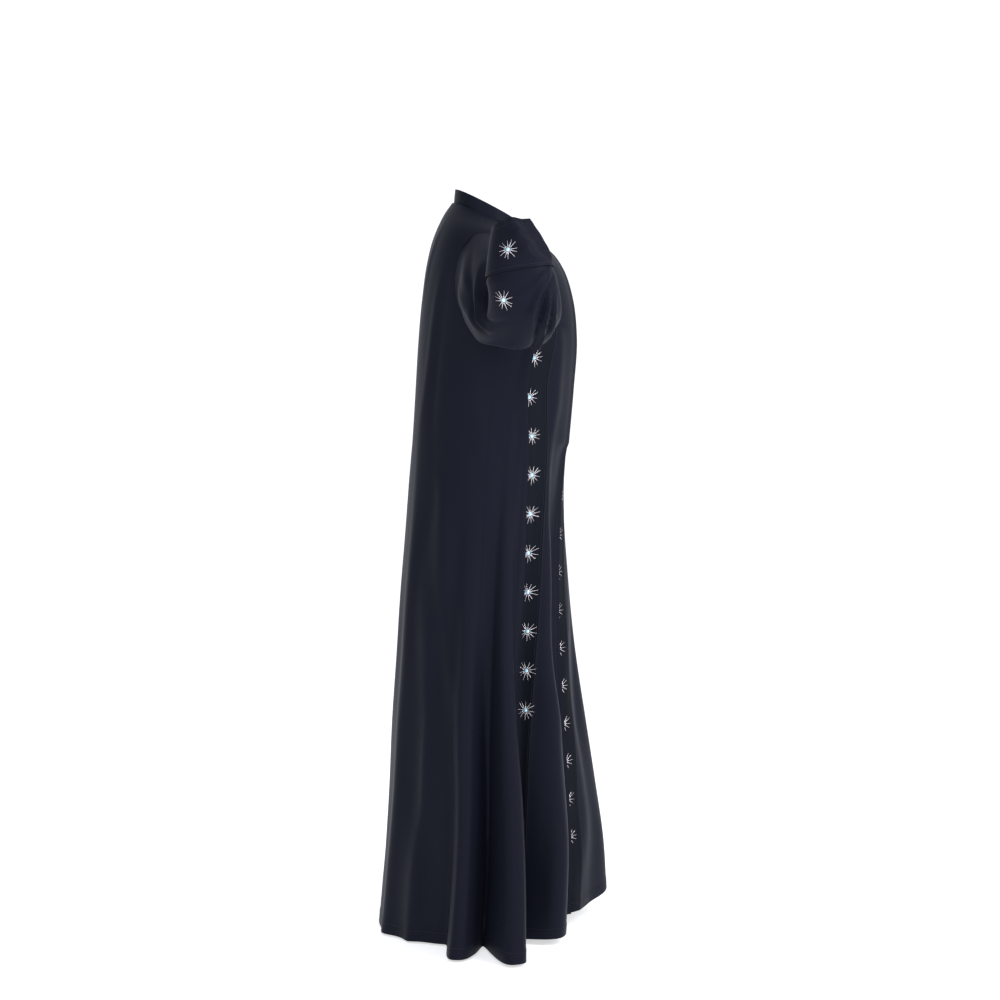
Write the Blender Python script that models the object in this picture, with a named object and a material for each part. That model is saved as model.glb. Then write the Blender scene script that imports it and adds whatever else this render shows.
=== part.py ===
"""An abaya cloak in dark crepe, in its worn shape, with both sleeves raised to the neck.

The robe is one lofted tube of cloth, cut along its seams into a back, two fronts, a star band
down each front, a lap beyond the near band, and a neckband. The near front laps over the far
one and is free at its edge. Each sleeve is a tube from its armhole round the bent elbow to a
cuff. Every piece is a wall of cloth with a narrow seam gap to its neighbours.

Metres, +Z up. The front faces -Y, and the near side is at -X. Heights in the tables are above
the floor, and HOLD_POINT is taken off when a piece is made.
"""

import math
from collections import namedtuple

import bmesh
import bpy
import numpy as np

# The point that the cloak is held up by: the middle of the neckline.
HOLD_POINT = np.array((0.0, 0.03, 1.40))

WALL = 0.002
SEAM_GAP = 0.0003
CREPE_COLOUR = (0.013, 0.013, 0.020, 1.0)
BAND_COLOUR = (0.009, 0.009, 0.013, 1.0)
CREPE_ROUGHNESS = 0.72

# One ring of the robe: how far it reaches back, forward and to each side, how far the far half
# of its front leads the near half, and how much lower its front is than its back.
Ring = namedtuple("Ring", "height back front side stride drop")
RINGS = (
    Ring(0.004, 0.240, -0.142, 0.200, 0.010, 0.000),
    Ring(0.140, 0.228, -0.145, 0.197, 0.010, 0.000),
    Ring(0.270, 0.218, -0.139, 0.193, 0.010, 0.000),
    Ring(0.400, 0.211, -0.130, 0.188, 0.010, 0.000),
    Ring(0.550, 0.201, -0.122, 0.181, 0.008, 0.000),
    Ring(0.720, 0.190, -0.121, 0.173, 0.006, 0.000),
    Ring(0.880, 0.179, -0.126, 0.167, 0.002, 0.000),
    Ring(1.060, 0.168, -0.140, 0.165, 0.000, 0.000),
    Ring(1.160, 0.161, -0.146, 0.168, 0.000, 0.000),
    Ring(1.240, 0.154, -0.138, 0.174, 0.000, 0.004),
    Ring(1.310, 0.145, -0.118, 0.176, 0.000, 0.014),
    Ring(1.355, 0.134, -0.096, 0.166, 0.000, 0.028),
    Ring(1.385, 0.122, -0.075, 0.142, 0.000, 0.042),
    Ring(1.410, 0.109, -0.056, 0.108, 0.000, 0.054),
    Ring(1.430, 0.095, -0.038, 0.077, 0.000, 0.062),
)
RING_POWER = 2.25  # 2 is an ellipse, and more is squarer

# Where the hem hangs clear of the floor: all along the front, and more just past its middle.
HemRise = namedtuple("HemRise", "angle rise half_width")
HEM_RISES = (
    HemRise(0.0, 0.026, 50.0),
    HemRise(336.0, 0.040, 15.0),
)
HEM_RISE_FADES_AT = 0.50

# One fold down the robe. Angles are in degrees round the robe: 0 is the front, 90 the near side,
# 180 the back and 270 the far side. A fold is deepest at the hem and dies out at its top height;
# power says how fast. It reaches outwards, or inwards where the reach is negative. A flatness of 2
# gives it a round crest, and more a flatter one with steeper sides.
Fold = namedtuple("Fold", "name hem_angle top_angle top reach half_width power flatness")
FOLDS = (
    Fold("near side flute, rear", 94.5, 97.0, 0.95, 0.106, 5.8, 2.0, 3.0),
    Fold("near side flute, front", 78.4, 72.0, 1.15, 0.150, 5.8, 2.4, 4.0),
    Fold("near back swell", 127.0, 122.0, 1.05, 0.016, 7.0, 1.4, 2.0),
    Fold("back swell, near", 151.0, 149.0, 1.20, 0.011, 7.0, 1.0, 2.0),
    Fold("back swell, far", 204.0, 202.0, 1.15, 0.013, 8.0, 1.1, 2.0),
    Fold("far back swell", 231.0, 235.0, 1.00, 0.022, 7.5, 1.3, 2.0),
    Fold("far side flute, rear", 256.0, 260.0, 0.92, 0.072, 7.0, 1.9, 3.0),
    Fold("far side flute, front", 278.0, 283.0, 1.12, 0.098, 5.8, 2.2, 3.0),
    Fold("far front swell", 303.0, 300.0, 0.85, 0.026, 8.0, 1.4, 2.0),
    Fold("front swell", 339.0, 341.0, 0.85, 0.082, 21.0, 0.9, 2.0),
    Fold("far front crease", 350.0, 352.0, 0.75, 0.010, 5.0, 1.0, 2.0),
    Fold("lap swell", 50.0, 40.0, 0.80, 0.034, 8.0, 0.9, 2.0),
    Fold("near front corner", 43.0, 42.0, 1.18, 0.014, 8.0, 0.25, 2.0),
    Fold("valley behind the lap", 68.0, 53.0, 0.90, -0.024, 6.0, 0.8, 2.0),
    Fold("hollow at the far band", 21.0, 21.0, 0.95, -0.023, 9.0, 0.3, 2.0),
)

# The star bands, by the angle of each band's free or front edge at some heights.
BAND_WIDTH = 0.047
LineAngle = namedtuple("LineAngle", "height near_band_edge far_band_edge")
BAND_LINES = (
    LineAngle(0.00, 62.0, 17.0),
    LineAngle(0.18, 60.5, 17.0),
    LineAngle(0.32, 57.5, 17.2),
    LineAngle(0.46, 53.5, 18.0),
    LineAngle(0.60, 49.5, 18.5),
    LineAngle(0.75, 47.0, 19.0),
    LineAngle(0.95, 47.0, 20.0),
    LineAngle(1.08, 51.0, 19.0),
    LineAngle(1.18, 45.0, 18.0),
    LineAngle(1.28, 36.0, 14.0),
    LineAngle(1.36, 34.0, 10.0),
    LineAngle(1.43, 34.0, 8.0),
)
LAP_OVER = 0.016  # how far the near front's free edge passes the far front's
LAP_LIFT = 0.006  # how far it stands off it

NEAR_SIDE, FAR_SIDE = 90.0, 270.0

# The armholes, as ellipses of height and angle about the side seam.
ARMHOLE_LOW, ARMHOLE_TOP = 1.165, 1.375
ARMHOLE_FORE, ARMHOLE_AFT = 26.0, 30.0
ARMHOLE_POINTS = 20
# Just outside the armhole the sleeve narrows by this factor at this distance, in a soft flare.
FLARE_FACTOR, FLARE_OUT = 0.92, 0.014

# One section of a sleeve: its middle, and its half sizes fore and aft and across. Out is the
# distance from the robe's middle plane, so the same table serves both sleeves. A sleeve ends on
# the first ring of its cuff.
Section = namedtuple("Section", "out y height half_fore half_across")
SLEEVE_SECTIONS = (
    Section(0.222, 0.004, 1.236, 0.071, 0.075),
    Section(0.256, -0.007, 1.210, 0.069, 0.063),
    Section(0.288, -0.020, 1.189, 0.069, 0.054),
    Section(0.321, -0.034, 1.180, 0.065, 0.047),
    Section(0.352, -0.042, 1.196, 0.064, 0.045),
    Section(0.371, -0.043, 1.230, 0.063, 0.045),
)
SLEEVE_RINGS = 17
CUFF_SECTIONS = (
    Section(0.373, -0.036, 1.270, 0.063, 0.047),
    Section(0.371, -0.031, 1.300, 0.055, 0.044),
    Section(0.366, -0.025, 1.330, 0.045, 0.039),
    Section(0.360, -0.020, 1.356, 0.035, 0.034),
)
CUFF_RINGS = 5

# One drape fold of a sleeve, along it from start to end, as shares of its length. Its angle is
# round the sleeve: 0 at the shoulder line, 90 in front, 180 underneath, 270 behind.
SleeveFold = namedtuple("SleeveFold", "angle start end reach half_width")
SLEEVE_FOLDS = (
    SleeveFold(232.0, 0.05, 0.70, 0.009, 15.0),
    SleeveFold(272.0, 0.08, 0.62, 0.006, 14.0),
    SleeveFold(306.0, 0.05, 0.50, 0.007, 14.0),
    SleeveFold(140.0, 0.15, 0.75, 0.007, 16.0),
    SleeveFold(85.0, 0.35, 0.95, 0.006, 16.0),
)

# The neckband stands up from the neckline and leans in. It takes every so many of the columns
# of the near front and of the wide panels.
NECKBAND_HEIGHT = 0.026
NECKBAND_LEAN = 0.006
NECKBAND_GAP = 0.0011
NECKBAND_ROWS = 2
NECKBAND_NEAR_STEP, NECKBAND_WIDE_STEP = 3, 2

# Columns of points across each panel, and rows below the armholes and above them.
BACK_COLUMNS = 36
NEAR_FRONT_COLUMNS = 13
BAND_COLUMNS = 3
LAP_COLUMNS = 7
FAR_FRONT_COLUMNS = 20
ROWS_BELOW, ROWS_ABOVE = 14, 4
HEM_SAMPLES = 400  # points along a panel's hem, to measure its folded length
STEP, STEP_REACH = 0.25, 50.0  # degrees, to measure along the folded cloth
MITRE_LEAST = 0.6  # the least cosine that lengthens the wall at a seam of two directions
SHARP_FROM = 60.0  # degrees


def smooth_curve(at, stops, values):
    """A smooth curve through the values at the stops, read at the places asked for."""
    stops = np.asarray(stops, float)
    values = np.asarray(values, float)
    steps = np.diff(stops)
    slopes = np.diff(values) / steps
    tangents = np.empty_like(values)
    tangents[0], tangents[-1] = slopes[0], slopes[-1]
    tangents[1:-1] = (slopes[:-1] * steps[1:] + slopes[1:] * steps[:-1]) / (steps[1:] + steps[:-1])
    at = np.clip(at, stops[0], stops[-1])
    i = np.clip(np.searchsorted(stops, at, side="right") - 1, 0, len(steps) - 1)
    t = (at - stops[i]) / steps[i]
    start = (2 * t**3 - 3 * t**2 + 1) * values[i] + (t**3 - 2 * t**2 + t) * steps[i] * tangents[i]
    end = (3 * t**2 - 2 * t**3) * values[i + 1] + (t**3 - t**2) * steps[i] * tangents[i + 1]
    return start + end


def column_of(table, name):
    return [getattr(row, name) for row in table]


def ring_size(height, name):
    return smooth_curve(height, column_of(RINGS, "height"), column_of(RINGS, name))


def unit(vectors):
    return vectors / np.linalg.norm(vectors, axis=-1, keepdims=True)


def bell(distance):
    return np.exp(-(distance**2))


def fold_reach(angle, height):
    """How far the folds push the cloth out at an angle and a height."""
    reach = np.zeros(np.broadcast(angle, height).shape)
    for fold in FOLDS:
        rise = np.clip(height / fold.top, 0, 1)
        middle = fold.hem_angle + (fold.top_angle - fold.hem_angle) * rise
        apart = (angle - middle + 180) % 360 - 180
        profile = np.exp(-(np.abs(apart / fold.half_width) ** fold.flatness))
        reach = reach + fold.reach * (1 - rise) ** fold.power * profile
    return reach


def hem_rise(angle, height):
    """How far the hem's rises lift the cloth at an angle and a height."""
    rise = 0.0
    for place in HEM_RISES:
        apart = (angle - place.angle + 180) % 360 - 180
        rise = rise + place.rise * bell(apart / place.half_width)
    return rise * np.clip(1 - height / HEM_RISE_FADES_AT, 0, 1) ** 2


def robe_point(angle, height, lift=0.0):
    """The middle of the cloth at an angle round the robe and a height, lift metres further out."""
    angle = np.asarray(angle, float)
    height = np.asarray(height, float) + 0 * angle
    fore, near = np.cos(np.radians(angle)), np.sin(np.radians(angle))
    fore = np.sign(fore) * np.abs(fore) ** (2 / RING_POWER)
    near = np.sign(near) * np.abs(near) ** (2 / RING_POWER)
    back, front, side = (ring_size(height, name) for name in ("back", "front", "side"))
    middle, half = (back + front) / 2, (back - front) / 2
    x = -side * near
    y = middle - half * fore + ring_size(height, "stride") * near * np.clip(fore, 0, None)
    z = height + hem_rise(angle, height) - ring_size(height, "drop") * (1 + fore) / 2
    away = unit(np.stack([-near / side, -fore / half], axis=-1))
    out = fold_reach(angle, height) + lift
    return np.stack([x + out * away[..., 0], y + out * away[..., 1], z], axis=-1)


def robe_normal(angle, height, lift=0.0):
    """The cloth's outward direction there, from its slopes round the robe and up it."""
    turn, climb = 0.2, 0.002
    low = np.maximum(height - climb, RINGS[0].height)
    high = np.minimum(height + climb, RINGS[-1].height)
    round_robe = robe_point(angle + turn, height, lift) - robe_point(angle - turn, height, lift)
    up_robe = robe_point(angle, high, lift) - robe_point(angle, low, lift)
    return unit(np.cross(up_robe, round_robe))


def angle_step(angle, height, distance):
    """The angle that lies this distance further round the robe, along its folded cloth."""
    way = np.sign(distance)
    ahead = np.arange(0, STEP_REACH + STEP, STEP)
    points = robe_point(np.asarray(angle, float)[..., None] + way * ahead, np.asarray(height)[..., None])
    run = np.cumsum(np.linalg.norm(np.diff(points, axis=-2), axis=-1), axis=-1)
    run = np.concatenate([np.zeros_like(run[..., :1]), run], axis=-1)
    last = np.clip((run < abs(distance)).sum(axis=-1, keepdims=True), 1, len(ahead) - 1)
    before = np.take_along_axis(run, last - 1, axis=-1)
    after = np.take_along_axis(run, last, axis=-1)
    steps = last - 1 + (abs(distance) - before) / (after - before)
    return angle + way * STEP * steps[..., 0]


def near_band_front(height):
    return smooth_curve(height, column_of(BAND_LINES, "height"), column_of(BAND_LINES, "near_band_edge"))


def near_band_back(height):
    return angle_step(near_band_front(height), height, BAND_WIDTH)


def far_band_edge(height):
    return smooth_curve(height, column_of(BAND_LINES, "height"), column_of(BAND_LINES, "far_band_edge"))


def far_band_seam(height):
    return angle_step(far_band_edge(height), height, -BAND_WIDTH)


def lap_edge(height):
    return angle_step(far_band_edge(height), height, -LAP_OVER)


def lap_lift(angle, height):
    """The lap rises from its seam with the near band to its free edge."""
    across = (near_band_front(height) - angle) / (near_band_front(height) - lap_edge(height))
    across = np.clip(across, 0, 1)
    return LAP_LIFT * across**2 * (3 - 2 * across)


ARMHOLE_MIDDLE = (ARMHOLE_TOP + ARMHOLE_LOW) / 2
ARMHOLE_HALF = (ARMHOLE_TOP - ARMHOLE_LOW) / 2


def armhole_bite(height, widest):
    """How many degrees the armhole takes out of a panel at a height."""
    share = np.clip((height - ARMHOLE_MIDDLE) / ARMHOLE_HALF, -1, 1)
    return widest * np.sqrt(1 - share**2)


def near_front_side(height):
    return NEAR_SIDE - armhole_bite(height, ARMHOLE_FORE)


def near_back_side(height):
    return NEAR_SIDE + armhole_bite(height, ARMHOLE_AFT)


def far_back_side(height):
    return FAR_SIDE - armhole_bite(height, ARMHOLE_AFT)


def far_front_side(height):
    return FAR_SIDE - 360 + armhole_bite(height, ARMHOLE_FORE)


def row_heights():
    """The heights of the rows of points. Those beside the armholes match the sleeves' points."""
    below = np.linspace(RINGS[0].height, ARMHOLE_LOW, ROWS_BELOW + 1)[:-1]
    turns = np.linspace(math.pi, 0, ARMHOLE_POINTS // 2 + 1)
    beside = ARMHOLE_MIDDLE + ARMHOLE_HALF * np.cos(turns)
    above = np.linspace(ARMHOLE_TOP, RINGS[-1].height, ROWS_ABOVE + 1)[1:]
    return np.concatenate([below, beside, above])


HEIGHTS = row_heights()
BESIDE_ARMHOLE = slice(ROWS_BELOW, ROWS_BELOW + ARMHOLE_POINTS // 2 + 1)


def even_shares(start, end, columns):
    """Shares of the way across a panel that part its folded hem into even lengths."""
    hem = RINGS[0].height
    shares = np.linspace(0, 1, HEM_SAMPLES)
    points = robe_point(start(hem) + (end(hem) - start(hem)) * shares, hem)
    run = np.concatenate([[0], np.cumsum(np.linalg.norm(np.diff(points, axis=0), axis=1))])
    return np.interp(np.linspace(0, run[-1], columns + 1), run, shares)


def panel_angles(start, end, columns):
    shares = even_shares(start, end, columns)
    return np.array([start(h) + (end(h) - start(h)) * shares for h in HEIGHTS])


def armhole_loop(side):
    """The armhole's points and the cloth's directions there: the shoulder first, then forward."""
    turns = np.arange(ARMHOLE_POINTS) * 2 * math.pi / ARMHOLE_POINTS
    height = ARMHOLE_MIDDLE + ARMHOLE_HALF * np.cos(turns)
    widest = np.where(np.sin(turns) > 0, ARMHOLE_FORE, ARMHOLE_AFT)
    toward_front = -1 if side == NEAR_SIDE else 1
    angle = side + toward_front * widest * np.sin(turns)
    return robe_point(angle, height), robe_normal(angle, height)


def section_loop(section, tangent, sign):
    """The points round one section of a sleeve, which lies square to the sleeve's direction."""
    forward = np.array((0.0, -1.0, 0.0))
    fore = unit(forward - tangent * (forward @ tangent))
    across = unit(np.cross(fore, tangent)) * sign
    turns = np.arange(ARMHOLE_POINTS) * 2 * math.pi / ARMHOLE_POINTS
    middle = np.array((sign * section.out, section.y, section.height))
    return (
        middle
        + np.cos(turns)[:, None] * across * section.half_across
        + np.sin(turns)[:, None] * fore * section.half_fore
    )


def section_loops(sections, sign, start=None):
    """The loops of a table of sections, which lean as the path through their middles does."""
    middles = [np.array((sign * s.out, s.y, s.height)) for s in sections]
    if start is None:
        tangents = np.gradient(np.array(middles), axis=0)
    else:
        tangents = np.gradient(np.array([start, *middles]), axis=0)[1:]
    return [section_loop(s, t, sign) for s, t in zip(sections, unit(tangents))]


def tube_normals(rings):
    along = np.gradient(rings, axis=0)
    around = np.roll(rings, -1, axis=1) - np.roll(rings, 1, axis=1)
    normals = unit(np.cross(along, around))
    outward = rings - rings.mean(axis=1, keepdims=True)
    flip = np.sign((normals * outward).sum(axis=(1, 2), keepdims=True))
    return normals * flip


def smooth_rings(loops, count):
    """Rings at even steps along a smooth tube through the loops."""
    loops = np.array(loops)
    middles = loops.mean(axis=1)
    run = np.concatenate([[0], np.cumsum(np.linalg.norm(np.diff(middles, axis=0), axis=1))])
    shares = run / run[-1]
    at = np.linspace(0, 1, count)
    flat = loops.reshape(len(loops), -1)
    curves = [smooth_curve(at, shares, flat[:, i]) for i in range(flat.shape[1])]
    return np.stack(curves, axis=1).reshape(count, *loops.shape[1:])


def sleeve_fold_reach(count):
    along = np.linspace(0, 1, count)[:, None]
    angle = (np.arange(ARMHOLE_POINTS) * 360 / ARMHOLE_POINTS)[None, :]
    reach = np.zeros((count, ARMHOLE_POINTS))
    for fold in SLEEVE_FOLDS:
        share = np.clip((along - fold.start) / (fold.end - fold.start), 0, 1)
        apart = (angle - fold.angle + 180) % 360 - 180
        reach += fold.reach * np.sin(math.pi * share) * bell(apart / fold.half_width)
    return reach


def cuff_rings(side):
    sign = -1 if side == NEAR_SIDE else 1
    return smooth_rings(section_loops(CUFF_SECTIONS, sign), CUFF_RINGS)


def sleeve_rings(side):
    sign = -1 if side == NEAR_SIDE else 1
    points, _ = armhole_loop(side)
    middle = points.mean(axis=0)
    flare = middle + (points - middle) * FLARE_FACTOR + np.array((sign * FLARE_OUT, 0, 0))
    sections = section_loops(SLEEVE_SECTIONS, sign, start=middle)
    rings = smooth_rings([points, flare, *sections, cuff_rings(side)[0]], SLEEVE_RINGS)
    return rings + tube_normals(rings) * sleeve_fold_reach(SLEEVE_RINGS)[..., None]


def mitre(first_way, second_way):
    """Half the wall at a seam, along the line that halves the angle of its two pieces."""
    halfway = unit(first_way + second_way)
    spread = np.clip((halfway * first_way).sum(axis=1, keepdims=True), MITRE_LEAST, 1)
    return halfway / spread * WALL / 2


def armhole_mitre(side):
    _, robe_way = armhole_loop(side)
    return mitre(robe_way, tube_normals(sleeve_rings(side))[0])


def cuff_mitre(side):
    return mitre(tube_normals(sleeve_rings(side))[-1], tube_normals(cuff_rings(side))[0])


def draw_in(points, line, neighbour):
    """Moves one row or column of points towards its neighbour by half a seam gap."""
    points[line] += unit(points[neighbour] - points[line]) * SEAM_GAP / 2


def crepe(name, colour):
    material = bpy.data.materials.new(name)
    material.use_nodes = True
    shader = material.node_tree.nodes["Principled BSDF"]
    shader.inputs["Base Color"].default_value = colour
    shader.inputs["Roughness"].default_value = CREPE_ROUGHNESS
    shader.inputs["Metallic"].default_value = 0.0
    material.diffuse_color = colour
    return material


def make_wall(name, points, half_wall, colour, closed):
    """One closed solid from rows of points in the middle of the cloth, half a wall each way.

    A closed wall is a tube, whose last column meets its first. Each four points are parted by
    the same diagonal on both faces, so that the wall keeps its thickness. Across a rim the
    diagonal runs from the lower outer point, so that two rims that meet are parted alike.
    """
    rows, columns = points.shape[:2]
    faces_of_cloth = np.stack([points + half_wall, points - half_wall]) - HOLD_POINT
    mesh = bpy.data.meshes.new(name)
    shape = bmesh.new()
    vertices = [shape.verts.new(p) for p in faces_of_cloth.reshape(-1, 3)]

    def corner(face, row, column):
        return vertices[(face * rows + row) * columns + column % columns]

    across = columns if closed else columns - 1
    for face in (0, 1):
        for row in range(rows - 1):
            for column in range(across):
                a, b = corner(face, row, column), corner(face, row, column + 1)
                c, d = corner(face, row + 1, column + 1), corner(face, row + 1, column)
                shape.faces.new((a, b, c))
                shape.faces.new((a, c, d))

    def close_rim(here, there):
        low, high = sorted((here, there), key=lambda at: points[at[0], at[1] % columns][2])
        shape.faces.new((corner(0, *low), corner(0, *high), corner(1, *high)))
        shape.faces.new((corner(0, *low), corner(1, *high), corner(1, *low)))

    for row in (0, rows - 1):
        for column in range(across):
            close_rim((row, column), (row, column + 1))
    if not closed:
        for column in (0, columns - 1):
            for row in range(rows - 1):
                close_rim((row, column), (row + 1, column))
    bmesh.ops.recalc_face_normals(shape, faces=shape.faces)
    shape.to_mesh(mesh)
    shape.free()
    mesh.shade_smooth()
    mesh.set_sharp_from_angle(angle=math.radians(SHARP_FROM))
    mesh.materials.append(crepe(name + "_cloth", colour))
    cloth = bpy.data.objects.new(name, mesh)
    bpy.context.scene.collection.objects.link(cloth)
    return cloth


def make_panel(name, start, end, columns, colour=CREPE_COLOUR, lapped=False, armholes=()):
    """A panel of the robe between two lines. Armholes names those beside its first or last column."""
    angles = panel_angles(start, end, columns)
    heights = np.repeat(HEIGHTS[:, None], angles.shape[1], axis=1)
    lift = lap_lift(angles, heights) if lapped else 0.0
    points = robe_point(angles, heights, lift)
    half_wall = robe_normal(angles, heights, lift) * WALL / 2
    half_turn = ARMHOLE_POINTS // 2
    for column, side, fore in armholes:
        mitre = armhole_mitre(side)
        loop = np.arange(half_turn, -1, -1) if fore else np.arange(half_turn, ARMHOLE_POINTS + 1)
        half_wall[BESIDE_ARMHOLE, column] = mitre[loop % ARMHOLE_POINTS]
    draw_in(points, (slice(None), 0), (slice(None), 1))
    draw_in(points, (slice(None), -1), (slice(None), -2))
    draw_in(points, -1, -2)
    return make_wall(name, points, half_wall, colour, closed=False)


def make_sleeve(name, side):
    points = sleeve_rings(side)
    half_wall = tube_normals(points) * WALL / 2
    half_wall[0] = armhole_mitre(side)
    half_wall[-1] = cuff_mitre(side)
    draw_in(points, 0, 1)
    draw_in(points, -1, -2)
    return make_wall(name, points, half_wall, CREPE_COLOUR, closed=True)


def make_cuff(name, side):
    points = cuff_rings(side)
    half_wall = tube_normals(points) * WALL / 2
    half_wall[0] = cuff_mitre(side)
    draw_in(points, 0, 1)
    return make_wall(name, points, half_wall, CREPE_COLOUR, closed=True)


def neckline_angles():
    """The columns of every panel at the neckline, from the lap's free edge round to the far band's."""
    around = [
        panel_angles(lap_edge, near_band_front, LAP_COLUMNS)[-1],
        panel_angles(near_band_front, near_band_back, BAND_COLUMNS)[-1],
        panel_angles(near_band_back, near_front_side, NEAR_FRONT_COLUMNS)[-1][::NECKBAND_NEAR_STEP],
        panel_angles(near_back_side, far_back_side, BACK_COLUMNS)[-1][::NECKBAND_WIDE_STEP],
        panel_angles(far_front_side, far_band_seam, FAR_FRONT_COLUMNS)[-1][::NECKBAND_WIDE_STEP] + 360,
        panel_angles(far_band_seam, far_band_edge, BAND_COLUMNS)[-1] + 360,
    ]
    return np.unique(np.round(np.concatenate(around), 4))


def make_neckband():
    """A narrow standing band along the whole neckline, its near end lapped over its far end."""
    angles = neckline_angles()
    top = RINGS[-1].height
    lift = np.where(angles < near_band_front(top), lap_lift(angles, top), 0.0)
    foot = robe_point(angles, top, lift)
    away = unit(foot - robe_point(angles, top, lift - 1.0))
    rows = []
    for share in np.linspace(0, 1, NECKBAND_ROWS + 1):
        up = np.array((0.0, 0.0, NECKBAND_HEIGHT * share + NECKBAND_GAP))
        rows.append(foot + up - away * NECKBAND_LEAN * share)
    points = np.array(rows)
    half_wall = np.repeat(away[None], len(rows), axis=0) * WALL / 2
    return make_wall("neckband", points, half_wall, CREPE_COLOUR, closed=False)


def clear_scene():
    for thing in list(bpy.data.objects):
        bpy.data.objects.remove(thing, do_unlink=True)


def build_cloak():
    clear_scene()
    make_panel(
        "back", near_back_side, far_back_side, BACK_COLUMNS,
        armholes=((0, NEAR_SIDE, False), (-1, FAR_SIDE, False)),
    )
    make_panel(
        "near_front", near_band_back, near_front_side, NEAR_FRONT_COLUMNS,
        armholes=((-1, NEAR_SIDE, True),),
    )
    make_panel("near_band", near_band_front, near_band_back, BAND_COLUMNS, BAND_COLOUR)
    make_panel("near_lap", lap_edge, near_band_front, LAP_COLUMNS, lapped=True)
    make_panel(
        "far_front", far_front_side, far_band_seam, FAR_FRONT_COLUMNS,
        armholes=((0, FAR_SIDE, True),),
    )
    make_panel("far_band", far_band_seam, far_band_edge, BAND_COLUMNS, BAND_COLOUR)
    make_neckband()
    for side, side_name in ((NEAR_SIDE, "near"), (FAR_SIDE, "far")):
        make_sleeve(side_name + "_sleeve", side)
        make_cuff(side_name + "_cuff", side)


build_cloak()
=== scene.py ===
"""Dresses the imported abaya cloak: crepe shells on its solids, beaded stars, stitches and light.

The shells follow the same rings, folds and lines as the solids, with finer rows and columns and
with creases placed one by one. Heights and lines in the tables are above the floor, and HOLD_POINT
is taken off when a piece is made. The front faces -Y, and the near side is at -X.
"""

import math
from collections import namedtuple
from functools import partial

import bpy
import numpy as np
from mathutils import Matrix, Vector


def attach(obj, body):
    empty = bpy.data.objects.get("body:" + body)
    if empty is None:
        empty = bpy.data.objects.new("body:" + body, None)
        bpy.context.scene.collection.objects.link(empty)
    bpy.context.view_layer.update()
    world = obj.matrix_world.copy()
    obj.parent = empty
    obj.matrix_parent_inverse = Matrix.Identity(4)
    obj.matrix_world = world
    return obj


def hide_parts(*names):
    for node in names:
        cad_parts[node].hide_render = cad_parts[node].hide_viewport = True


# The point that the cloak is held up by: the middle of the neckline.
HOLD_POINT = np.array((0.0, 0.03, 1.40))

CLOTH = 0.0014  # the shells' thickness
SEAM_GAP = 0.0003
RIM_ANGLE = 60.0  # edges sharper than this stay sharp, which are the shells' rims

# One ring of the robe: how far it reaches back, forward and to each side, how far the far half
# of its front leads the near half, and how much lower its front is than its back.
Ring = namedtuple("Ring", "height back front side stride drop")
RINGS = (
    Ring(0.004, 0.240, -0.142, 0.200, 0.010, 0.000),
    Ring(0.140, 0.228, -0.145, 0.197, 0.010, 0.000),
    Ring(0.270, 0.218, -0.139, 0.193, 0.010, 0.000),
    Ring(0.400, 0.211, -0.130, 0.188, 0.010, 0.000),
    Ring(0.550, 0.201, -0.122, 0.181, 0.008, 0.000),
    Ring(0.720, 0.190, -0.121, 0.173, 0.006, 0.000),
    Ring(0.880, 0.179, -0.126, 0.167, 0.002, 0.000),
    Ring(1.060, 0.168, -0.140, 0.165, 0.000, 0.000),
    Ring(1.160, 0.161, -0.146, 0.168, 0.000, 0.000),
    Ring(1.240, 0.154, -0.138, 0.174, 0.000, 0.004),
    Ring(1.310, 0.145, -0.118, 0.176, 0.000, 0.014),
    Ring(1.355, 0.134, -0.096, 0.166, 0.000, 0.028),
    Ring(1.385, 0.122, -0.075, 0.142, 0.000, 0.042),
    Ring(1.410, 0.109, -0.056, 0.108, 0.000, 0.054),
    Ring(1.430, 0.095, -0.038, 0.077, 0.000, 0.062),
)
RING_POWER = 2.25

# Where the hem hangs clear of the floor: all along the front, and more just past its middle.
HemRise = namedtuple("HemRise", "angle rise half_width")
HEM_RISES = (
    HemRise(0.0, 0.026, 50.0),
    HemRise(336.0, 0.040, 15.0),
)
HEM_RISE_FADES_AT = 0.50

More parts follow.
